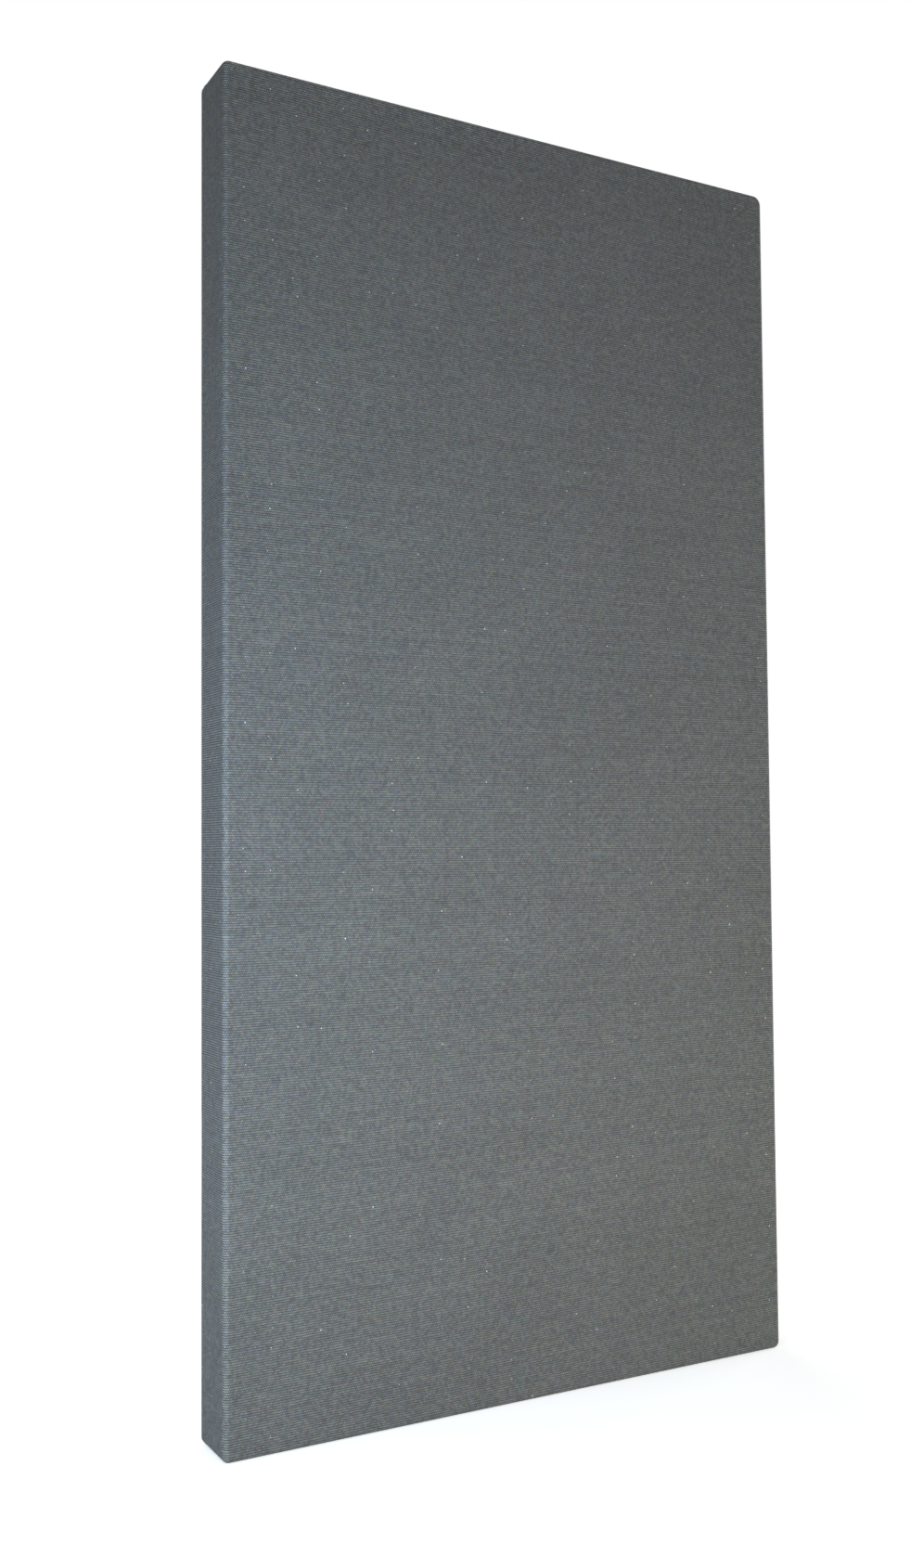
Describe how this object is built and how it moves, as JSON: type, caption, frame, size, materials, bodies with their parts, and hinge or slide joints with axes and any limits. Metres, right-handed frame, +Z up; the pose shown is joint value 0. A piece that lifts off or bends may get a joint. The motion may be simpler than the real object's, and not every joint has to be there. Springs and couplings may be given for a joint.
{
  "type": "corner bass trap panel",
  "caption": "Flat rectangular sound-absorbing panel: a mineral wool board in a wood frame, wrapped in ribbed grey cloth, with swinging D-ring hangers on the back.",
  "frame": {"origin": "middle of the bottom face, which the panel stands on", "axes": "+X to the right seen from the front, -Y the front face, +Z up"},
  "size_m": [0.6096, 0.0644, 1.2192],
  "materials": {
    "ribbed_cloth": "matte ribbed cloth with a slight sheen",
    "polyester_wadding": "soft fibre",
    "mineral_wool": "pressed fibre board",
    "dust_cloth": "matte non-woven",
    "pine": "planed, bare",
    "zinc_steel": "zinc plated",
    "nickel_wire": "nickel plated"
  },
  "bodies": {
    "panel": {"fabric_wrap": "ribbed_cloth", "front_wadding": "polyester_wadding", "core_slab": "mineral_wool", "dust_cover": "dust_cloth", "left_stile": "pine", "right_stile": "pine", "top_rail": "pine", "bottom_rail": "pine", "cross_brace": "pine", "corner_block_bottom_left": "pine", "corner_block_top_left": "pine", "corner_block_bottom_right": "pine", "corner_block_top_right": "pine", "frame_screw_left_bottom_front": "zinc_steel", "frame_screw_left_bottom_back": "zinc_steel", "frame_screw_left_top_front": "zinc_steel", "frame_screw_left_top_back": "zinc_steel", "frame_screw_right_bottom_front": "zinc_steel", "frame_screw_right_bottom_back": "zinc_steel", "frame_screw_right_top_front": "zinc_steel", "frame_screw_right_top_back": "zinc_steel", "brace_screw_left_lower": "zinc_steel", "brace_screw_left_upper": "zinc_steel", "brace_screw_right_lower": "zinc_steel", "brace_screw_right_upper": "zinc_steel", "hanger_screw_left_upper": "zinc_steel", "hanger_screw_left_lower": "zinc_steel", "hanger_screw_right_upper": "zinc_steel", "hanger_screw_right_lower": "zinc_steel", "hanger_strap_left": "zinc_steel", "hanger_strap_right": "zinc_steel"},
    "ring_left": {"hanger_ring_left": "nickel_wire"},
    "ring_right": {"hanger_ring_right": "nickel_wire"}
  },
  "joints": [
    {"name": "left_ring_swing", "type": "hinge", "parent": "panel", "child": "ring_left", "pos_m": [-0.2913, 0.03265, 1.0692], "axis": [1, 0, 0], "range_deg": [0, 178]},
    {"name": "right_ring_swing", "type": "hinge", "parent": "panel", "child": "ring_right", "pos_m": [0.2913, 0.03265, 1.0692], "axis": [1, 0, 0], "range_deg": [0, 178]}
  ]
}
